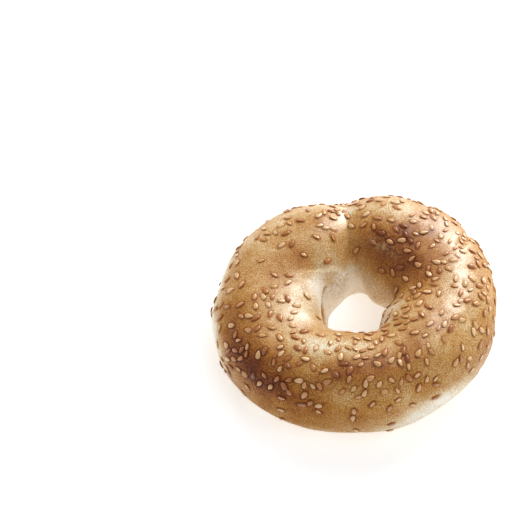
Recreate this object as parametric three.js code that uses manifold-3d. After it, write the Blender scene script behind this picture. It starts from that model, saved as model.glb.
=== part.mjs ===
// A sesame bagel, 100 mm across: one ring of dough whose two rolled ends are pinched together at the back,
// flat underneath from the baking sheet, with sesame seeds baked onto its top and sides.
//
// Millimetres and degrees, +Z up. The origin is on the surface that the bagel rests on, under the middle of
// its box. -Y is the front, and the pinched seam is at the back.
//
// Two angles name a place on the crust:
//   ring  goes round the hole, counter-clockwise from +X as seen from above
//   side  goes round the dough's own section: 0 is the outer side, 90 the top, 180 the hole's wall, 270 below
import * as THREE from "three";
import { mergeVertices } from "three/addons/utils/BufferGeometryUtils.js";
import Module from "manifold-3d";

const wasm = await Module();
wasm.setup();

// Driving dimensions
const OUTER_RADIUS = 47.9;
const HOLE_RADIUS = 11.2;
const CREST_HEIGHT = 34;
const WAIST_HEIGHT = 15; // where the section is widest
const BOTTOM_PRESS = 2.5; // how far the round underside is pressed flat by the baking sheet
const RING_CENTRE = { x: 0.52, y: 0.65 }; // the ring's own centre, seen from the middle of the box

// Uneven hand rolling: [times round the ring, mm, the ring angle where it swells most]
const OUTER_SWELLS = [
  [2, 2.9, 13],
  [3, 0.4, 41],
  [4, 0.7, 44],
  [5, 0.7, -11],
];
const HOLE_SWELLS = [
  [1, 2.0, -70],
  [2, 1.15, 77],
  [3, 0.5, 14],
  [4, 0.5, 11],
  [5, 1.1, 12],
];
const CREST_SWELLS = [
  [1, 0.6, 20],
  [2, 0.5, 110],
];

// How full the section is: an exponent of 1 gives an ellipse, and less makes it squarer
const FULLNESS = { across: 0.92, top: 0.95, foot: 0.85 };

// The pinch where the two ends meet. Its path of [side, ring] runs over the top and bends down into the hole.
// It fades in and out between the side angles given.
const SEAM = { depth: 3, right: 12, left: 18, fadeIn: [5, 60], fadeOut: [190, 235] };
const SEAM_PATH = [
  [20, 95],
  [90, 95.5],
  [120, 97],
  [145, 95],
  [168, 91],
  [190, 82],
  [240, 80],
];

// Soft bulges and hollows: [ring, side, spread round the ring, spread across, mm]
const BULGES = [
  [70, 70, 14, 40, 1.0], // the right end's rounded tip beside the seam
  [112, 60, 14, 40, 0.5], // the left end's tip
  [45, 25, 9, 30, 0.7],
  [22, 15, 12, 34, 0.5],
  [205, 70, 22, 36, 0.6],
  [258, 60, 26, 36, 0.7],
  [318, 80, 22, 40, 0.5],
  [184, 20, 12, 40, 1.0],
  [168, 216, 36, 17, 3.2], // the skirt of soft dough low on the hole's wall
  [188, 168, 28, 20, -3.2], // and the hollow of the wall above it
];

// Folds in the skin, each along a path of [ring, side] places. The lip stands on the path's left.
const FOLDS = [
  { path: [[37, 8], [31, 38], [24, 66]], wide: 1.8, groove: 0.9, lip: 0.2 },
  { path: [[57, 12], [53, 50]], wide: 1.6, groove: 0.6, lip: 0.1 },
  { path: [[74, 124], [62, 116], [50, 103]], wide: 1.0, groove: 0.15, lip: 0.2 },
  { path: [[213, 62], [240, 50], [294, 56], [338, 62]], wide: 2.2, groove: 0.15, lip: 0.5 },
  { path: [[90, 158], [106, 155], [122, 140], [140, 136], [154, 126]], wide: 1.4, groove: 0.3, lip: 0.1 },
  { path: [[202, 192], [189, 179], [178, 170], [168, 160], [156, 156]], wide: 0.9, groove: 1.3, lip: 0.1 },
];

const GROOVE_SHARE = 0.8; // how wide a groove is against its lip

// Gentle lumps all over
const LUMPS = { waves: 7, height: 0.14, shortest: 13, longest: 30, seed: 411 };

const RINGS = 72;
const SIDES = 24;
const FOOT_SIDE = -59; // where the round side meets the flat underneath, and its twin on the hole's wall

const rad = THREE.MathUtils.degToRad;

// Repeatable draws between 0 and 1: each state is the last one multiplied, within a fixed number of states
const DRAW_FACTOR = 48271;
const DRAW_STATES = 2147483647;

function dice(seed) {
  let state = seed;
  return () => {
    state = (state * DRAW_FACTOR) % DRAW_STATES;
    return state / DRAW_STATES;
  };
}

function swell(mean, swells, ring) {
  return swells.reduce((sum, [times, mm, peak]) => sum + mm * Math.cos(rad(times * (ring - peak))), mean);
}

function turned(degrees) {
  return ((((degrees + 180) % 360) + 360) % 360) - 180;
}

// The bare section at one ring angle, before any relief: its distance from the ring's axis and its height
function section(ring, side) {
  const outer = swell(OUTER_RADIUS, OUTER_SWELLS, ring);
  const hole = swell(HOLE_RADIUS, HOLE_SWELLS, ring);
  const crest = swell(CREST_HEIGHT, CREST_SWELLS, ring);
  const across = Math.cos(rad(side));
  const up = Math.sin(rad(side));
  const half = (outer - hole) / 2;
  const reach = half * Math.sign(across) * Math.abs(across) ** FULLNESS.across;
  const lift =
    up > 0
      ? (crest - WAIST_HEIGHT) * up ** FULLNESS.top
      : -(WAIST_HEIGHT + BOTTOM_PRESS) * (-up) ** FULLNESS.foot;
  return { radius: hole + half + reach, height: WAIST_HEIGHT + lift, across, up, half };
}

function seamRing(side) {
  const next = SEAM_PATH.findIndex(([atSide]) => atSide > side);
  if (next === 0) return SEAM_PATH[0][1];
  if (next < 0) return SEAM_PATH.at(-1)[1];
  const [fromSide, fromRing] = SEAM_PATH[next - 1];
  const [toSide, toRing] = SEAM_PATH[next];
  return THREE.MathUtils.mapLinear(side, fromSide, toSide, fromRing, toRing);
}

function seamRelief(ring, side) {
  const past = turned(ring - seamRing(side));
  const width = past > 0 ? SEAM.left : SEAM.right;
  const { smoothstep } = THREE.MathUtils;
  const shown = smoothstep(side, ...SEAM.fadeIn) * (1 - smoothstep(side, ...SEAM.fadeOut));
  return -SEAM.depth * shown * Math.exp(-Math.abs(past) / width);
}

function bulgeRelief(ring, side) {
  return BULGES.reduce((sum, [atRing, atSide, round, over, mm]) => {
    const along = turned(ring - atRing) / round;
    const across = turned(side - atSide) / over;
    return sum + mm * Math.exp(-along * along - across * across);
  }, 0);
}

// The lip and groove of one fold, from the signed distance to the nearest stretch of its path
function foldRelief(fold, ring, side, radius, half) {
  let nearest = Infinity;
  let signed = 0;
  for (let i = 0; i + 1 < fold.path.length; i++) {
    const [fromRing, fromSide] = fold.path[i];
    const [toRing, toSide] = fold.path[i + 1];
    const px = rad(turned(ring - fromRing)) * radius;
    const py = rad(turned(side - fromSide)) * half;
    const dx = rad(toRing - fromRing) * radius;
    const dy = rad(toSide - fromSide) * half;
    const along = THREE.MathUtils.clamp((px * dx + py * dy) / (dx * dx + dy * dy), 0, 1);
    const gap = Math.hypot(px - along * dx, py - along * dy);
    if (gap < nearest) {
      nearest = gap;
      signed = Math.sign(dx * py - dy * px) * gap;
    }
  }
  const lip = Math.exp(-(((signed - fold.wide) / fold.wide) ** 2));
  const groove = Math.exp(-((signed / (GROOVE_SHARE * fold.wide)) ** 2));
  return fold.lip * lip - fold.groove * groove;
}

function makeLumps() {
  const roll = dice(LUMPS.seed);
  return Array.from({ length: LUMPS.waves }, () => {
    const heading = 2 * Math.PI * roll();
    const slope = 2 * roll() - 1;
    const flat = Math.sqrt(1 - slope * slope);
    const length = LUMPS.shortest + (LUMPS.longest - LUMPS.shortest) * roll();
    const pull = (2 * Math.PI) / length;
    const phase = 2 * Math.PI * roll();
    return [pull * flat * Math.cos(heading), pull * flat * Math.sin(heading), pull * slope, phase];
  });
}

const lumps = makeLumps();

function lumpRelief(x, y, z) {
  const waves = lumps.map(([kx, ky, kz, phase]) => Math.sin(kx * x + ky * y + kz * z + phase));
  return LUMPS.height * waves.reduce((sum, wave) => sum + wave, 0);
}

// A point of the crust
function crust(ring, side) {
  const { radius, height, across, up, half } = section(ring, side);
  const x = radius * Math.cos(rad(ring));
  const y = radius * Math.sin(rad(ring));
  const folds = FOLDS.reduce((sum, fold) => sum + foldRelief(fold, ring, side, radius, half), 0);
  const relief = seamRelief(ring, side) + bulgeRelief(ring, side) + folds + lumpRelief(x, y, height);
  const out = radius + relief * across;
  return new THREE.Vector3(
    RING_CENTRE.x + out * Math.cos(rad(ring)),
    RING_CENTRE.y + out * Math.sin(rad(ring)),
    Math.max(0, height + relief * up),
  );
}

// The crust as a closed grid: SIDES points from the outer foot over the top to the inner foot, and one flat
// strip below
function doughGeometry() {
  const points = [];
  const faces = [];
  const step = (180 - 2 * FOOT_SIDE) / (SIDES - 1);
  for (let i = 0; i < RINGS; i++) {
    for (let j = 0; j < SIDES; j++) {
      const point = crust((360 * i) / RINGS, FOOT_SIDE + j * step);
      if (j === 0 || j === SIDES - 1) point.z = 0;
      points.push(point);
    }
  }
  for (let i = 0; i < RINGS; i++) {
    for (let j = 0; j < SIDES; j++) {
      const next = (i + 1) % RINGS;
      const over = (j + 1) % SIDES;
      const [a, b, c, d] = [i * SIDES + j, next * SIDES + j, next * SIDES + over, i * SIDES + over];
      faces.push(a, b, c, a, c, d);
    }
  }
  return new THREE.BufferGeometry().setFromPoints(points).setIndex(faces);
}

const MERGE_GAP = 1e-4;

function toSolid(geometry) {
  const merged = mergeVertices(geometry, MERGE_GAP);
  return new wasm.Manifold(
    new wasm.Mesh({
      numProp: 3,
      vertProperties: merged.getAttribute("position").array,
      triVerts: new Uint32Array(merged.index.array),
    }),
  );
}

function toGeometry(solid) {
  const { vertProperties, triVerts } = solid.getMesh();
  const geometry = new THREE.BufferGeometry();
  geometry.setAttribute("position", new THREE.BufferAttribute(vertProperties, 3));
  geometry.setIndex(new THREE.BufferAttribute(triVerts, 1));
  return geometry;
}

// Where the seeds fell: [ring, side, spread round the ring, spread across, seeds]
const SHOWERS = [
  [248, 80, 26, 22, 66],
  [290, 84, 26, 22, 62],
  [262, 36, 40, 24, 60],
  [318, 100, 24, 26, 50],
  [325, 50, 28, 26, 40],
  [0, 96, 20, 30, 50],
  [25, 62, 22, 30, 84],
  [55, 60, 22, 30, 66],
  [88, 52, 22, 24, 42],
  [118, 62, 22, 28, 40],
  [160, 52, 26, 28, 34],
  [200, 84, 20, 30, 46],
  [220, 50, 24, 28, 46],
  [120, 0, 60, 20, 22],
  [262, 126, 24, 14, 14],
  [330, 150, 30, 18, 14],
];
const SEED = { length: 2.8, width: 1.55, thick: 0.95, spread: 0.18, sunk: 0.46, tilt: 9, gap: 2.3 };
const SEED_DRAW = 2026; // starts the random draw that scatters them
const SEED_SIDES = { lowest: -22, highest: 176 };
const SEEDS_MADE = 230; // the largest seeds, spread over the whole crust

function showerSeeds() {
  const roll = dice(SEED_DRAW);
  const bell = () => 2 * (roll() + roll() + roll() - 1.5);
  const seeds = [];
  for (const [ring, side, round, over, count] of SHOWERS) {
    for (let i = 0; i < count; i++) {
      const place = { ring: ring + round * bell(), side: side + over * bell() };
      const size = 1 + SEED.spread * (2 * roll() - 1);
      const turn = 360 * roll();
      const tilt = SEED.tilt * bell();
      if (place.side < SEED_SIDES.lowest || place.side > SEED_SIDES.highest) continue;
      const at = crust(place.ring, place.side);
      if (seeds.some((other) => other.at.distanceTo(at) < SEED.gap)) continue;
      seeds.push({ ...place, at, size, turn, tilt });
    }
  }
  return seeds;
}

const FRAME_STEP = 1.5; // degrees to each side of the place that a seed lies on

// The crust's directions round the ring, outward and over the section
function crustFrame(ring, side) {
  const round = crust(ring + FRAME_STEP, side).sub(crust(ring - FRAME_STEP, side)).normalize();
  const over = crust(ring, side + FRAME_STEP).sub(crust(ring, side - FRAME_STEP)).normalize();
  const out = new THREE.Vector3().crossVectors(round, over).normalize();
  return { round, out, over: new THREE.Vector3().crossVectors(out, round) };
}

// A seed is a flat teardrop: a point sunk in the dough, a six-sided belly, and a short ridge along its back
const SEED_BELLY = [
  [0.5, 0],
  [0.12, 0.5],
  [-0.32, 0.42],
  [-0.5, 0],
  [-0.32, -0.42],
  [0.12, -0.5],
];
const SEED_RIDGE = [0.16, -0.24];
const RIDGE_SIDES = [0, 0, 1, 1, 1, 0]; // which end of the ridge each belly corner leans to
const SEED_HEIGHTS = { point: -0.8, belly: -0.2, ridge: 0.5 }; // in the seed's own thicknesses

function seedGeometry() {
  const points = [new THREE.Vector3(0, 0, SEED.thick * SEED_HEIGHTS.point)];
  for (const [x, y] of SEED_BELLY) {
    points.push(new THREE.Vector3(x * SEED.length, y * SEED.width, SEED.thick * SEED_HEIGHTS.belly));
  }
  for (const x of SEED_RIDGE) {
    points.push(new THREE.Vector3(x * SEED.length, 0, SEED.thick * SEED_HEIGHTS.ridge));
  }
  const faces = [];
  const corners = SEED_BELLY.length;
  for (let i = 0; i < corners; i++) {
    const next = (i + 1) % corners;
    const ridge = 1 + corners + RIDGE_SIDES[i];
    const ridgeNext = 1 + corners + RIDGE_SIDES[next];
    faces.push(0, 1 + next, 1 + i, 1 + i, 1 + next, ridge);
    if (ridge !== ridgeNext) faces.push(ridge, 1 + next, ridgeNext);
  }
  return new THREE.BufferGeometry().setFromPoints(points).setIndex(faces);
}

function placedSeed(shape, seed) {
  const { round, over, out } = crustFrame(seed.ring, seed.side);
  const stand = new THREE.Matrix4().makeBasis(round, over, out);
  const lift = SEED.thick * (0.5 - SEED.sunk) * seed.size;
  stand.setPosition(seed.at.clone().addScaledVector(out, lift));
  const pose = new THREE.Matrix4().makeRotationZ(rad(seed.turn));
  pose.multiply(new THREE.Matrix4().makeRotationX(rad(seed.tilt)));
  pose.multiply(new THREE.Matrix4().makeScale(seed.size, seed.size, seed.size));
  return shape.clone().applyMatrix4(stand.multiply(pose));
}

function bagelMesh() {
  const shape = seedGeometry();
  const largest = showerSeeds().sort((a, b) => b.size - a.size).slice(0, SEEDS_MADE);
  const dough = toSolid(doughGeometry());
  const seeded = largest.reduce((solid, seed) => solid.add(toSolid(placedSeed(shape, seed))), dough);
  const crustMaterial = new THREE.MeshStandardMaterial({ color: 0xb8823f, roughness: 0.45, metalness: 0 });
  const mesh = new THREE.Mesh(toGeometry(seeded), crustMaterial);
  mesh.name = "bagel";
  return mesh;
}

const bagel = new THREE.Group();
bagel.add(bagelMesh());
export default bagel;
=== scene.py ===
"""A sesame bagel on a pale floor: a glossy, unevenly baked ring of dough with its seeds.

The ring is the one that part.mjs makes, from the same named values in millimetres and degrees, but finer.
Two angles name a place on the crust:
  ring  goes round the hole, counter-clockwise from +X as seen from above
  side  goes round the dough's own section: 0 is the outer side, 90 the top, 180 the hole's wall, 270 below
"""
import math

import bpy
import numpy as np
from mathutils import Matrix, Vector, kdtree, noise


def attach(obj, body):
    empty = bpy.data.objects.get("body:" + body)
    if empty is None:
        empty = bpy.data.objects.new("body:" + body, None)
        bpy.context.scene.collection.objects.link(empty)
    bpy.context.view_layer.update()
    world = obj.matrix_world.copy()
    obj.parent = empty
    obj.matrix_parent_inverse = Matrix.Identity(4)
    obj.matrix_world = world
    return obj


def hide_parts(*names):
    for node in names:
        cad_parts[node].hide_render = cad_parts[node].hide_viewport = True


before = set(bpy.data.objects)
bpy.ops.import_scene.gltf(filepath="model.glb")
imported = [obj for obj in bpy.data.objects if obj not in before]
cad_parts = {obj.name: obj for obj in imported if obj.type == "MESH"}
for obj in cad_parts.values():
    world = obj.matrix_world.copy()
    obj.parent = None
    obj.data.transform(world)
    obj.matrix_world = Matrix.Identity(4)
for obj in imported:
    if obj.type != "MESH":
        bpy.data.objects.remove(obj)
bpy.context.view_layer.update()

MM = 0.001
NODE = "bagel"
BODY = "root"

# The ring, as in part.mjs. A swell is (times round the ring, mm, the ring angle where it swells most).
OUTER_RADIUS = 47.9
HOLE_RADIUS = 11.2
CREST_HEIGHT = 34
WAIST_HEIGHT = 15
BOTTOM_PRESS = 2.5
RING_CENTRE = (0.52, 0.65)
OUTER_SWELLS = [(2, 2.9, 13), (3, 0.4, 41), (4, 0.7, 44), (5, 0.7, -11)]
HOLE_SWELLS = [(1, 2.0, -70), (2, 1.15, 77), (3, 0.5, 14), (4, 0.5, 11), (5, 1.1, 12)]
CREST_SWELLS = [(1, 0.6, 20), (2, 0.5, 110)]
FULLNESS = {"across": 0.92, "top": 0.95, "foot": 0.85}

# The pinch where the dough's two ends meet, along a path of (side, ring) places
SEAM = {"depth": 3.0, "right": 12, "left": 18, "fade_in": (5, 60), "fade_out": (190, 235)}
SEAM_PATH = [(20, 95), (90, 95.5), (120, 97), (145, 95), (168, 91), (190, 82), (240, 80)]

# Soft bulges and hollows: (ring, side, spread round the ring, spread across, mm)
BULGES = [
    (70, 70, 14, 40, 1.0),
    (112, 60, 14, 40, 0.5),
    (45, 25, 9, 30, 0.7),
    (22, 15, 12, 34, 0.5),
    (205, 70, 22, 36, 0.6),
    (258, 60, 26, 36, 0.7),
    (318, 80, 22, 40, 0.5),
    (184, 20, 12, 40, 1.0),
    (168, 216, 36, 17, 3.2),
    (188, 168, 28, 20, -3.2),
]

# Folds in the skin, each along a path of (ring, side) places. The lip stands on the path's left.
CREVICE = {
    "path": [(202, 192), (189, 179), (178, 170), (168, 160), (156, 156)],
    "wide": 0.9,
    "groove": 1.3,
    "lip": 0.1,
}
WALL_FOLD = {
    "path": [(90, 158), (106, 155), (122, 140), (140, 136), (154, 126)],
    "wide": 1.4,
    "groove": 0.3,
    "lip": 0.1,
}
FOLDS = [
    {"path": [(37, 8), (31, 38), (24, 66)], "wide": 1.8, "groove": 0.9, "lip": 0.2},
    {"path": [(57, 12), (53, 50)], "wide": 1.6, "groove": 0.6, "lip": 0.1},
    {"path": [(74, 124), (62, 116), (50, 103)], "wide": 1.0, "groove": 0.15, "lip": 0.2},
    {"path": [(213, 62), (240, 50), (294, 56), (338, 62)], "wide": 2.2, "groove": 0.15, "lip": 0.5},
    WALL_FOLD,
    CREVICE,
]
GROOVE_SHARE = 0.8  # how wide a groove is against its lip

# Gentle lumps all over
LUMPS = {"waves": 7, "height": 0.14, "shortest": 13, "longest": 30, "seed": 411}

# The crust's grid. FOOT_SIDE is where its round side meets the flat underneath.
RINGS = 420
SIDES = 210
FOOT_SIDE = -59

# The seeds, in the order and places of part.mjs: (ring, side, spread round the ring, spread across, seeds)
SHOWERS = [
    (248, 80, 26, 22, 66),
    (290, 84, 26, 22, 62),
    (262, 36, 40, 24, 60),
    (318, 100, 24, 26, 50),
    (325, 50, 28, 26, 40),
    (0, 96, 20, 30, 50),
    (25, 62, 22, 30, 84),
    (55, 60, 22, 30, 66),
    (88, 52, 22, 24, 42),
    (118, 62, 22, 28, 40),
    (160, 52, 26, 28, 34),
    (200, 84, 20, 30, 46),
    (220, 50, 24, 28, 46),
    (120, 0, 60, 20, 22),
    (262, 126, 24, 14, 14),
    (330, 150, 30, 18, 14),
]

# A middling seed in mm, how much the sizes spread, how much of its thickness is sunk, how far it tilts in
# degrees, and the gap in mm that two seeds' middles keep at least
SEED = {"length": 2.8, "width": 1.55, "thick": 0.95, "spread": 0.18, "sunk": 0.46, "tilt": 9, "gap": 2.3}
SEED_DRAW = 2026
SEED_SIDES = {"lowest": -22, "highest": 176}
FRAME_STEP = 1.5  # degrees to each side of the place that a seed lies on

# Repeatable draws between 0 and 1: each state is the last one multiplied, within a fixed number of states
DRAW_FACTOR = 48271
DRAW_STATES = 2147483647

# The camera: BAGEL_PIXEL is where the ring's centre stands in the picture, LOOK_HEIGHT above the floor
CAMERA_HEIGHT_ANGLE = 57
CAMERA_DISTANCE = 600
PIXELS = 512
PIXELS_PER_MM = 2.83
BAGEL_PIXEL = (354.9, 310.0)
LOOK_HEIGHT = 16
SENSOR = 36
CLIP_START = 10


def dice(seed):
    state = seed
    while True:
        state = (state * DRAW_FACTOR) % DRAW_STATES
        yield state / DRAW_STATES


def smooth(low, high, value):
    t = np.clip((value - low) / (high - low), 0, 1)
    return t * t * (3 - 2 * t)


def turned(degrees):
    return (degrees + 180) % 360 - 180


def swell(mean, swells, ring):
    return mean + sum(mm * np.cos(np.radians(times * (ring - peak))) for times, mm, peak in swells)


def patches(rows, ring, side):
    """The sum of soft patches, each (ring, side, spread round the ring, spread across, amount)."""
    total = np.zeros(np.shape(ring))
    for at_ring, at_side, round_, over, amount in rows:
        along = turned(ring - at_ring) / round_
        across = turned(side - at_side) / over
        total += amount * np.exp(-along * along - across * across)
    return total


def section(ring, side):
    """The bare section's distance from the axis, its height, its two directions and its half width."""
    outer = swell(OUTER_RADIUS, OUTER_SWELLS, ring)
    hole = swell(HOLE_RADIUS, HOLE_SWELLS, ring)
    crest = swell(CREST_HEIGHT, CREST_SWELLS, ring)
    across = np.cos(np.radians(side))
    up = np.sin(np.radians(side))
    half = (outer - hole) / 2
    reach = half * np.sign(across) * np.abs(across) ** FULLNESS["across"]
    above = (crest - WAIST_HEIGHT) * np.maximum(up, 0) ** FULLNESS["top"]
    below = (WAIST_HEIGHT + BOTTOM_PRESS) * np.maximum(-up, 0) ** FULLNESS["foot"]
    return hole + half + reach, WAIST_HEIGHT + above - below, across, up, half


def seam_relief(ring, side):
    sides, rings = zip(*SEAM_PATH)
    past = turned(ring - np.interp(side, sides, rings))
    width = np.where(past > 0, SEAM["left"], SEAM["right"])
    shown = smooth(*SEAM["fade_in"], side) * (1 - smooth(*SEAM["fade_out"], side))
    return -SEAM["depth"] * shown * np.exp(-np.abs(past) / width)


def fold_profile(fold, ring, side, radius, half):
    """The lip and the groove of one fold, each 0 to 1."""
    nearest = np.full(np.shape(ring), np.inf)
    signed = np.zeros(np.shape(ring))
    for (from_ring, from_side), (to_ring, to_side) in zip(fold["path"], fold["path"][1:]):
        px = np.radians(turned(ring - from_ring)) * radius
        py = np.radians(turned(side - from_side)) * half
        dx = np.radians(to_ring - from_ring) * radius
        dy = np.radians(to_side - from_side) * half
        along = np.clip((px * dx + py * dy) / (dx * dx + dy * dy), 0, 1)
        gap = np.hypot(px - along * dx, py - along * dy)
        closer = gap < nearest
        signed = np.where(closer, np.sign(dx * py - dy * px) * gap, signed)
        nearest = np.where(closer, gap, nearest)
    lip = np.exp(-(((signed - fold["wide"]) / fold["wide"]) ** 2))
    groove = np.exp(-((signed / (GROOVE_SHARE * fold["wide"])) ** 2))
    return lip, groove


def make_lumps():
    roll = dice(LUMPS["seed"])
    lumps = []
    for _ in range(LUMPS["waves"]):
        heading = 2 * math.pi * next(roll)
        slope = 2 * next(roll) - 1
        flat = math.sqrt(1 - slope * slope)
        length = LUMPS["shortest"] + (LUMPS["longest"] - LUMPS["shortest"]) * next(roll)
        pull = 2 * math.pi / length
        phase = 2 * math.pi * next(roll)
        wave = (pull * flat * math.cos(heading), pull * flat * math.sin(heading), pull * slope, phase)
        lumps.append(wave)
    return lumps


LUMP_WAVES = make_lumps()


def lump_relief(x, y, z):
    waves = (np.sin(kx * x + ky * y + kz * z + phase) for kx, ky, kz, phase in LUMP_WAVES)
    return sum(LUMPS["height"] * wave for wave in waves)


def crust(ring, side):
    """Points of the crust in millimetres, for ring and side angles in degrees."""
    ring = np.asarray(ring, float)
    side = np.asarray(side, float)
    radius, height, across, up, half = section(ring, side)
    cos, sin = np.cos(np.radians(ring)), np.sin(np.radians(ring))
    relief = seam_relief(ring, side) + patches(BULGES, ring, side)
    relief = relief + lump_relief(radius * cos, radius * sin, height)
    for fold in FOLDS:
        lip, groove = fold_profile(fold, ring, side, radius, half)
        relief = relief + fold["lip"] * lip - fold["groove"] * groove
    out = radius + relief * across
    up_to = np.maximum(0, height + relief * up)
    return np.stack([RING_CENTRE[0] + out * cos, RING_CENTRE[1] + out * sin, up_to], axis=-1)


def crust_frame(ring, side):
    """The crust's directions round the ring, over the section and outward."""
    round_ = crust(ring + FRAME_STEP, side) - crust(ring - FRAME_STEP, side)
    round_ /= np.linalg.norm(round_)
    over = crust(ring, side + FRAME_STEP) - crust(ring, side - FRAME_STEP)
    out = np.cross(round_, over)
    out /= np.linalg.norm(out)
    return round_, np.cross(out, round_), out


def shower_seeds():
    """Where each seed fell, how big it is and how it lies. A seed too near an earlier one is left out."""
    roll = dice(SEED_DRAW)

    def bell():
        return 2 * (next(roll) + next(roll) + next(roll) - 1.5)

    seeds = []
    places = np.zeros((0, 3))
    for ring, side, round_, over, count in SHOWERS:
        for _ in range(count):
            at_ring = ring + round_ * bell()
            at_side = side + over * bell()
            size = 1 + SEED["spread"] * (2 * next(roll) - 1)
            turn = 360 * next(roll)
            tilt = SEED["tilt"] * bell()
            if at_side < SEED_SIDES["lowest"] or at_side > SEED_SIDES["highest"]:
                continue
            at = crust(at_ring, at_side)
            if len(places) and np.linalg.norm(places - at, axis=1).min() < SEED["gap"]:
                continue
            places = np.vstack([places, at])
            seed = {"ring": at_ring, "side": at_side, "at": at, "size": size, "turn": turn, "tilt": tilt}
            seeds.append(seed)
    return seeds


def make_mesh(name, points_mm, faces, material):
    mesh = bpy.data.meshes.new(name)
    mesh.from_pydata((points_mm * MM).tolist(), [], faces)
    mesh.validate()
    mesh.shade_smooth()
    mesh.materials.append(material)
    piece = bpy.data.objects.new(name, mesh)
    bpy.context.scene.collection.objects.link(piece)
    return piece


def store(piece, name, values):
    attribute = piece.data.attributes.new(name, "FLOAT", "POINT")
    attribute.data.foreach_set("value", np.asarray(values, np.float32))


# Relief too fine for the solid, in mm: blisters everywhere, and torn, flaky dough on the hole's wall and in
# the valley beside the pinch. Their shifts keep the two noises apart.
BLISTERS = {"size": 3.6, "height": 0.16, "shift": 3.7}
TORN = {"size": 2.0, "height": 1.0, "level": 0.3, "shift": 9.1}
TORN_PATCHES = [
    (122, 164, 42, 18, 1.0),
    (146, 195, 50, 18, 0.5),
    (60, 120, 19, 5, 0.65),
]


def noise_at(points, kind):
    """Smooth noise of about -1 to 1, with lumps of about the kind's size."""
    offset = Vector((kind["shift"], kind["shift"], kind["shift"]))
    return np.array([noise.noise(Vector(p) / kind["size"] + offset) for p in points])


def fine_relief(torn, points):
    blisters = BLISTERS["height"] * noise_at(points, BLISTERS)
    flakes = TORN["level"] - np.abs(noise_at(points, TORN))
    return blisters + TORN["height"] * torn * flakes


def grid_normals(points):
    round_ = np.roll(points, -1, axis=0) - np.roll(points, 1, axis=0)
    over = np.gradient(points, axis=1)
    out = np.cross(round_, over)
    return out / np.linalg.norm(out, axis=-1, keepdims=True)


def make_crust(seeds, material):
    """The crust. "bake" is how brown it is, with painted highlights, painted reflections and
    painted shade in places, "torn" is 1 where its skin is torn, "nook" is 1 where it meets a seed, where
    the crust is darker with browning and painted contact shade, and "glaze" is 1 where it shines."""
    step = (180 - 2 * FOOT_SIDE) / (SIDES - 1)
    rings = 360 * np.arange(RINGS) / RINGS
    ring, side = np.meshgrid(rings, FOOT_SIDE + step * np.arange(SIDES), indexing="ij")
    points = crust(ring, side)
    normals = grid_normals(points)
    torn = np.clip(patches(TORN_PATCHES, ring, side), 0, 1).ravel()
    relief = fine_relief(torn, points.reshape(-1, 3)).reshape(ring.shape)
    points = points + normals * relief[..., None]
    points[..., 2] = np.maximum(points[..., 2], 0)
    points[:, [0, -1], 2] = 0
    flat = points.reshape(-1, 3)
    faces = []
    for i in range(RINGS):
        following = (i + 1) % RINGS
        for j in range(SIDES):
            over = (j + 1) % SIDES
            faces.append((i * SIDES + j, following * SIDES + j, following * SIDES + over, i * SIDES + over))
    piece = make_mesh("crust", flat, faces, material)
    store(piece, "bake", baking_and_painted_light(ring, side).ravel())
    store(piece, "torn", torn)
    store(piece, "nook", nooks(flat, seeds))
    store(piece, "glaze", glazing(ring, side).ravel())
    return piece


NOOK_REACH = 0.6  # mm


def nooks(points, seeds):
    """How near each point is to a seed's edge: 1 at the edge, and 0 from NOOK_REACH away."""
    tree = kdtree.KDTree(len(points))
    for index, point in enumerate(points):
        tree.insert(point, index)
    tree.balance()
    near = np.zeros(len(points))
    for seed in seeds:
        round_, over, _ = crust_frame(seed["ring"], seed["side"])
        turn = math.radians(seed["turn"])
        long_way = round_ * math.cos(turn) + over * math.sin(turn)
        wide_way = over * math.cos(turn) - round_ * math.sin(turn)
        length, width = SEED["length"] * seed["size"], SEED["width"] * seed["size"]
        for place, index, _ in tree.find_range(seed["at"], length):
            away = np.array(place) - seed["at"]
            u, v = 2 * away @ long_way / length, 2 * away @ wide_way / width
            edge = (math.hypot(u, v) - 1) * width / 2
            near[index] = max(near[index], 1 - float(smooth(0, NOOK_REACH, edge)))
    return near


# How brown the crust is: 0 is pale soft dough, 0.5 golden, 1 dark brown. Some patches and the crevice hold
# painted light in place of browning: painted highlights, painted reflections and painted shade, marked
# below.
# Each patch is (ring, side, spread round the ring, spread across, how much darker).
BAKE = 0.5
PALEST = -0.25
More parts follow.
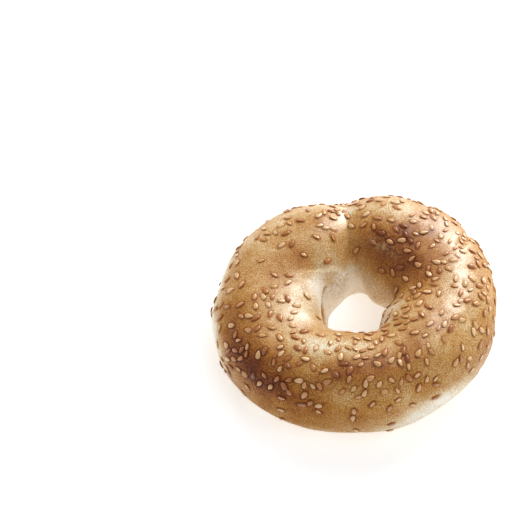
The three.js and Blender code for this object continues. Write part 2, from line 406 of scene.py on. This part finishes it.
# Painted shade darkens the crevice's groove by this much
CREVICE_PAINTED_SHADE = 0.7
FOOT_PALER = 0.2
FOOT_SIDES = (-45, -8)
BAKE_AND_PAINTED_LIGHT_PATCHES = [
    (168, 152, 50, 34, -0.42),
    # Paler on the hole's left slope where the window's highlight falls: pale dough, and partly a painted
    # highlight
    (203, 124, 20, 18, -0.1),
    (142, 153, 14, 10, 0.36),
    (140, 205, 66, 44, -0.62),
    (115, 178, 36, 24, -0.34),
    (20, 200, 90, 30, -0.25),
    (326, 144, 26, 24, -0.3),
    (48, 165, 24, 20, -0.2),
    # Darker where the crevice meets the hole's wall: painted shade
    (188, 176, 15, 9, 0.55),
    (99, 72, 7, 20, -0.38),
    (135, 55, 24, 26, -0.14),
    (64, 74, 20, 18, -0.26),
    # Darker in the valley right of the pinch: browner crust, and partly painted shade
    (50, 124, 38, 30, 0.41),
    (156, 116, 15, 15, 0.24),
    # Darker on the front left's outer side: browner crust, and partly painted shade
    (220, 30, 26, 32, 0.52),
    (245, 12, 44, 26, 0.08),
    (278, 76, 22, 16, 0.34),
    (258, 48, 22, 18, -0.04),
    (280, 2, 22, 18, 0.13),
    (252, 98, 38, 17, -0.36),
    (320, 82, 14, 14, 0.1),
    # A little darker where the window's highlight falls at the hole's front left: painted shade
    (232, 106, 12, 12, 0.04),
    (12, 112, 22, 20, 0.12),
    (350, 72, 26, 30, -0.17),
    (340, 6, 20, 18, 0.14),
    (318, 30, 13, 14, -0.06),
    (12, 150, 18, 15, 0.14),
    # Paler low on the front right: a painted reflection of the bright floor
    (303, -8, 28, 20, -0.47),
    # Paler low on the left: a painted reflection of the bright floor
    (190, 14, 38, 19, -0.6),
    # Darker on the crest at the back right, to tone down the window's light there: painted shade
    (42, 76, 14, 20, 0.17),
    # Paler along the window's highlight on the crest at the right: painted highlight
    (27, 72, 9, 12, -0.24),
    (8, 80, 10, 12, -0.12),
]


def baking_and_painted_light(ring, side):
    total = np.clip(BAKE + patches(BAKE_AND_PAINTED_LIGHT_PATCHES, ring, side), PALEST, 1)
    radius, _, _, _, half = section(ring, side)
    # Painted shade along the crevice's groove
    total += CREVICE_PAINTED_SHADE * fold_profile(CREVICE, ring, side, radius, half)[1]
    total -= FOOT_PALER * (1 - smooth(*FOOT_SIDES, side))
    return np.minimum(total, 1)


# Where the crust shines: over the top, between these side angles, and in a few places low on the side
GLAZE = {"fade_in": (25, 75), "fade_out": (140, 190)}
GLOSSY_SIDES = [
    (190, 12, 30, 20, 1.0),
    (308, -4, 30, 18, 1.0),
]


def glazing(ring, side):
    top = smooth(*GLAZE["fade_in"], side) * (1 - smooth(*GLAZE["fade_out"], side))
    return np.clip(top + patches(GLOSSY_SIDES, ring, side), 0, 1)


# One seed's own form: points round and over it, how square it is in section, and how much its tip narrows
SEED_AROUND = 16
SEED_OVER = 7
SEED_SQUARENESS = 0.7
SEED_TAPER = 0.28

# How the seeds differ: in width, and in toast, part of which follows how dark the crust beneath is, from
# its browning and from its painted shade alike.
# A seed's rim fades out between the two heights, which are in its own thicknesses.
SEED_WIDTHS = 0.14
SEED_TOAST = {"draw": 77, "least": 0.1, "spread": 0.75, "power": 1.2, "baked": 0.9}
SEED_RIM = (0.05, 0.4)


def seed_shape():
    """One sesame seed, 1 long, 1 wide and 1 thick, with its tip at +X."""
    points = [(0, 0, 0.5)]
    faces = []
    for j in range(1, SEED_OVER):
        lean = math.pi * j / SEED_OVER
        for i in range(SEED_AROUND):
            t = 2 * math.pi * i / SEED_AROUND
            r = math.sin(lean) ** SEED_SQUARENESS
            taper = 1 - SEED_TAPER * math.cos(t)
            points.append((0.5 * r * math.cos(t), 0.5 * r * math.sin(t) * taper, 0.5 * math.cos(lean)))
    points.append((0, 0, -0.5))
    last = len(points) - 1
    for i in range(SEED_AROUND):
        following = (i + 1) % SEED_AROUND
        faces.append((0, 1 + i, 1 + following))
        for j in range(SEED_OVER - 2):
            a, b = 1 + j * SEED_AROUND, 1 + (j + 1) * SEED_AROUND
            faces.append((a + i, b + i, b + following, a + following))
        base = 1 + (SEED_OVER - 2) * SEED_AROUND
        faces.append((base + i, last, base + following))
    return np.array(points, float), faces


def placed_seed(shape, seed, wide):
    """The points of one seed as it lies, partly sunk in the crust."""
    round_, over, out = crust_frame(seed["ring"], seed["side"])
    turn, tilt = math.radians(seed["turn"]), math.radians(seed["tilt"])
    local = shape * [SEED["length"], SEED["width"] * wide, SEED["thick"]] * seed["size"]
    x, y, z = local.T
    y, z = y * math.cos(tilt) - z * math.sin(tilt), y * math.sin(tilt) + z * math.cos(tilt)
    x, y = x * math.cos(turn) - y * math.sin(turn), x * math.sin(turn) + y * math.cos(turn)
    lift = SEED["thick"] * (0.5 - SEED["sunk"]) * seed["size"]
    return seed["at"] + np.outer(x, round_) + np.outer(y, over) + np.outer(z + lift, out)


def make_seeds(seeds, material):
    """All the seeds as one piece. "toast" goes by seed, and "rim" is 1 where a seed meets the crust."""
    shape, shape_faces = seed_shape()
    rim = 1 - smooth(*SEED_RIM, shape[:, 2])
    points, faces, toast = [], [], []
    roll = dice(SEED_TOAST["draw"])
    for seed in seeds:
        wide = 1 + SEED_WIDTHS * (2 * next(roll) - 1)
        first = len(shape) * len(points)
        points.append(placed_seed(shape, seed, wide))
        faces += [tuple(first + corner for corner in face) for face in shape_faces]
        drawn = SEED_TOAST["spread"] * next(roll) ** SEED_TOAST["power"]
        # Seeds toast darker where the crust is darker, also where that is painted shade
        crust_darkness = SEED_TOAST["baked"] * max(0, float(baking_and_painted_light(seed["ring"], seed["side"]) - BAKE))
        toast.append(np.full(len(shape), SEED_TOAST["least"] + drawn + crust_darkness))
    piece = make_mesh("seeds", np.vstack(points), faces, material)
    store(piece, "toast", np.concatenate(toast))
    store(piece, "rim", np.tile(rim, len(seeds)))
    return piece


class Nodes:
    """Adds shader nodes to one material and links them."""

    def __init__(self, name):
        self.material = bpy.data.materials.new(name)
        self.material.use_nodes = True
        self.tree = self.material.node_tree
        self.shader = self.tree.nodes["Principled BSDF"]

    def fill(self, socket, value):
        """Links a socket to another node's, or gives it a plain value."""
        if isinstance(value, bpy.types.NodeSocket):
            self.tree.links.new(value, socket)
        else:
            socket.default_value = value

    def add(self, kind, values, **settings):
        node = self.tree.nodes.new(kind)
        for key, value in settings.items():
            setattr(node, key, value)
        for name, value in values.items():
            self.fill(node.inputs[name], value)
        return node

    def noise(self, size_mm, detail, roughness):
        place = self.add("ShaderNodeTexCoord", {}).outputs["Object"]
        values = {"Vector": place, "Scale": 1 / (size_mm * MM), "Detail": detail, "Roughness": roughness}
        return self.add("ShaderNodeTexNoise", values).outputs["Fac"]

    def ramp(self, factor, stops):
        node = self.add("ShaderNodeValToRGB", {"Fac": factor})
        elements = node.color_ramp.elements
        while len(elements) < len(stops):
            elements.new(0.5)
        for element, (place, colour) in zip(elements, stops):
            element.position = place
            element.color = (*colour, 1)
        return node.outputs["Color"]

    def mix(self, factor, first, plain_colour):
        node = self.add("ShaderNodeMix", {}, data_type="RGBA")
        sockets = {socket.name: socket for socket in node.inputs if socket.enabled}
        self.fill(sockets["Factor"], factor)
        self.fill(sockets["A"], first)
        self.fill(sockets["B"], (*plain_colour, 1))
        return next(socket for socket in node.outputs if socket.enabled)

    def math(self, operation, a, b):
        return self.add("ShaderNodeMath", {0: a, 1: b}, operation=operation).outputs[0]

    def spread(self, factor, amount):
        """A noise of 0 to 1 as a change of up to half of amount, down or up."""
        return self.math("MULTIPLY", self.math("SUBTRACT", factor, 0.5), amount)

    def attribute(self, name):
        return self.add("ShaderNodeAttribute", {}, attribute_name=name).outputs["Fac"]

    def bump(self, height, depth_mm, strength=1.0, normal=None):
        values = {"Height": height, "Distance": depth_mm * MM, "Strength": strength}
        if normal is not None:
            values["Normal"] = normal
        return self.add("ShaderNodeBump", values).outputs["Normal"]

    def finish(self, colour, normal, values):
        self.fill(self.shader.inputs["Base Color"], colour)
        self.fill(self.shader.inputs["Normal"], normal)
        for name, value in values.items():
            self.fill(self.shader.inputs[name], value)
        return self.material


def linear(*rgb):
    """A screen colour, 0 to 255, as linear light."""
    return tuple(((v / 255 + 0.055) / 1.055) ** 2.4 if v > 10 else v / 255 / 12.92 for v in rgb)


# The crust's shading. A noise is (size in mm, detail, roughness), and a depth is in mm.
BROWNING = [
    (0.0, linear(250, 246, 234)),
    (0.25, linear(220, 193, 146)),
    (0.5, linear(190, 134, 58)),
    (0.75, linear(152, 87, 30)),
    (1.0, linear(86, 32, 12)),
]
BROAD_MOTTLE = {"noise": (9, 3, 0.5), "amount": 0.48}
FINE_MOTTLE = {"noise": (0.36, 2, 0.7), "amount": 1.35}
# Darker crust round each seed: browning, and partly painted contact shade
NOOK_BROWN_AND_SHADE = 0.24
FLAKES = {"noise": (1.3, 4, 0.65), "depth": 0.7, "colour": linear(212, 182, 128)}
FLAKE_STOPS = [(0.46, (0, 0, 0)), (0.58, (0.7, 0.7, 0.7))]
GRAIN = {"noise": (0.5, 3, 0.7), "depth": 0.18}
DIMPLES = {"noise": (2.5, 3, 0.5), "depth": 0.22}
GLAZE_COAT = 0.85
CRUST_GLOSS = {"Roughness": 0.5, "Specular IOR Level": 0.06, "Coat Roughness": 0.37, "Coat IOR": 1.65}


def crust_material():
    m = Nodes("crust")
    torn = m.attribute("torn")
    broad = m.spread(m.noise(*BROAD_MOTTLE["noise"]), BROAD_MOTTLE["amount"])
    fine = m.spread(m.noise(*FINE_MOTTLE["noise"]), FINE_MOTTLE["amount"])
    bake = m.math("ADD", m.math("ADD", m.attribute("bake"), broad), fine)
    # Darker right round each seed: browning and painted contact shade
    bake = m.math("ADD", bake, m.math("MULTIPLY", m.attribute("nook"), NOOK_BROWN_AND_SHADE))
    flakes = m.noise(*FLAKES["noise"])
    flaky = m.math("MULTIPLY", torn, m.ramp(flakes, FLAKE_STOPS))
    colour = m.mix(flaky, m.ramp(bake, BROWNING), FLAKES["colour"])
    grain = m.bump(m.noise(*GRAIN["noise"]), GRAIN["depth"])
    dimples = m.bump(m.noise(*DIMPLES["noise"]), DIMPLES["depth"], normal=grain)
    normal = m.bump(flakes, FLAKES["depth"], torn, normal=dimples)
    coat = m.math("MULTIPLY", m.attribute("glaze"), GLAZE_COAT)
    return m.finish(colour, normal, {"Coat Weight": coat, **CRUST_GLOSS})


# The seeds' shading, in the same form
TOASTING = [
    (0.0, linear(238, 203, 156)),
    (0.4, linear(216, 166, 108)),
    (0.75, linear(186, 120, 64)),
    (1.0, linear(120, 58, 22)),
]
# A seed's rim, where it meets the crust, is darker: toasting, and partly painted contact shade
SEED_RIM_COLOUR = linear(140, 80, 40)
SEED_GRAIN = {"noise": (0.5, 2, 0.5), "depth": 0.05}
SEED_GLOSS = {"Roughness": 0.35, "Coat Weight": 0.6, "Coat Roughness": 0.2, "IOR": 1.45}


def seed_material():
    m = Nodes("sesame")
    top = m.ramp(m.attribute("toast"), TOASTING)
    colour = m.mix(m.attribute("rim"), top, SEED_RIM_COLOUR)
    normal = m.bump(m.noise(*SEED_GRAIN["noise"]), SEED_GRAIN["depth"])
    return m.finish(colour, normal, SEED_GLOSS)


# The floor, pale and glowing a little so that the shadow on it is faint
FLOOR_REACH = 1500
FLOOR_TINT = {"noise": (40, 2, 0.5), "stops": [(0.3, linear(238, 242, 246)), (0.7, linear(242, 246, 250))]}
FLOOR_GRAIN = {"noise": (1.5, 2, 0.5), "depth": 0.02}
FLOOR_LOOK = {"Roughness": 0.6, "Emission Color": (1, 1, 1, 1), "Emission Strength": 0.47}


def floor_material():
    m = Nodes("floor")
    colour = m.ramp(m.noise(*FLOOR_TINT["noise"]), FLOOR_TINT["stops"])
    normal = m.bump(m.noise(*FLOOR_GRAIN["noise"]), FLOOR_GRAIN["depth"])
    return m.finish(colour, normal, FLOOR_LOOK)


def make_floor():
    corners = FLOOR_REACH * np.array([(-1, -1, 0), (1, -1, 0), (1, 1, 0), (-1, 1, 0)], float)
    floor = make_mesh("floor", corners, [(0, 1, 2, 3)], floor_material())


# The lamps: (name, direction from the bagel, distance in mm, width and height in mm, watts, whether it
# lights the dough, whether it shows in the gloss). The sheen strengthens the window's reflection alone.
LAMPS = [
    ("window", (0.5, 0.74, 0.46), 900, (190, 900), 7.5, True, True),
    ("sheen", (0.5, 0.74, 0.46), 900, (190, 900), 5, False, True),
    ("card", (-0.94, 0.28, 0.18), 900, (500, 300), 2.5, True, False),
    ("softbox", (-0.08, 0.6, 0.8), 1100, (800, 700), 3.9, True, False),
    ("fill", (0.5, -0.42, 0.85), 1300, (1100, 900), 6.6, True, False),
]
HOLE_GLOW = {"at": (0.25, -2.5, 0.6), "wide": 13, "watts": 0.0005}
SKY = {"colour": (1, 1, 1, 1), "strength": 0.22}


def add_lamp(name, shape, wide_mm, watts):
    light = bpy.data.lights.new(name, "AREA")
    light.shape = shape
    light.size = wide_mm * MM
    light.energy = watts
    lamp = bpy.data.objects.new(name, light)
    bpy.context.scene.collection.objects.link(lamp)
    return lamp


def add_hole_glow():
    """A faint light up the hole from the floor, which the floor's own glow is too shaded to give."""
    lamp = add_lamp("hole glow", "DISK", HOLE_GLOW["wide"], HOLE_GLOW["watts"])
    lamp.visible_camera = False
    lamp.visible_glossy = False
    lamp.location = Vector(HOLE_GLOW["at"]) * MM
    lamp.rotation_euler = (math.pi, 0, 0)


def light_scene():
    for name, direction, distance, (width, height), watts, lights, shines in LAMPS:
        lamp = add_lamp(name, "RECTANGLE", width, watts)
        lamp.data.size_y = height * MM
        lamp.visible_diffuse = lights
        lamp.visible_glossy = shines
        towards = Vector(direction).normalized()
        lamp.location = towards * distance * MM
        lamp.rotation_euler = towards.to_track_quat("Z", "Y").to_euler()
    add_hole_glow()
    world = bpy.data.worlds.new("studio")
    world.use_nodes = True
    background = world.node_tree.nodes["Background"]
    background.inputs["Color"].default_value = SKY["colour"]
    background.inputs["Strength"].default_value = SKY["strength"]
    bpy.context.scene.world = world
    bpy.context.scene.view_settings.view_transform = "Standard"


def aim_camera():
    """Turns the camera a little off the ring's centre, so that the ring stands at BAGEL_PIXEL."""
    centre = Vector((RING_CENTRE[0], RING_CENTRE[1], LOOK_HEIGHT)) * MM
    rise = math.radians(CAMERA_HEIGHT_ANGLE)
    back = Vector((0, -math.cos(rise), math.sin(rise)))
    right = Vector((1, 0, 0))
    up = back.cross(right)
    aside = (BAGEL_PIXEL[0] - PIXELS / 2) / PIXELS_PER_MM
    below = (BAGEL_PIXEL[1] - PIXELS / 2) / PIXELS_PER_MM
    data = bpy.data.cameras.new("camera")
    data.sensor_width = SENSOR
    data.lens = SENSOR * CAMERA_DISTANCE * PIXELS_PER_MM / PIXELS
    data.clip_start = CLIP_START * MM
    camera = bpy.data.objects.new("camera", data)
    camera.location = centre + back * CAMERA_DISTANCE * MM
    look = centre - right * aside * MM + up * below * MM
    away = (camera.location - look).normalized()
    across = up.cross(away).normalized()
    turn = Matrix((across, away.cross(across), away)).transposed()
    camera.rotation_euler = turn.to_euler()
    bpy.context.scene.collection.objects.link(camera)
    bpy.context.scene.camera = camera


def dress(piece):
    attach(piece, BODY)
    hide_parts(NODE)


aim_camera()
seeds = shower_seeds()
dress(make_crust(seeds, crust_material()))
dress(make_seeds(seeds, seed_material()))
make_floor()
light_scene()
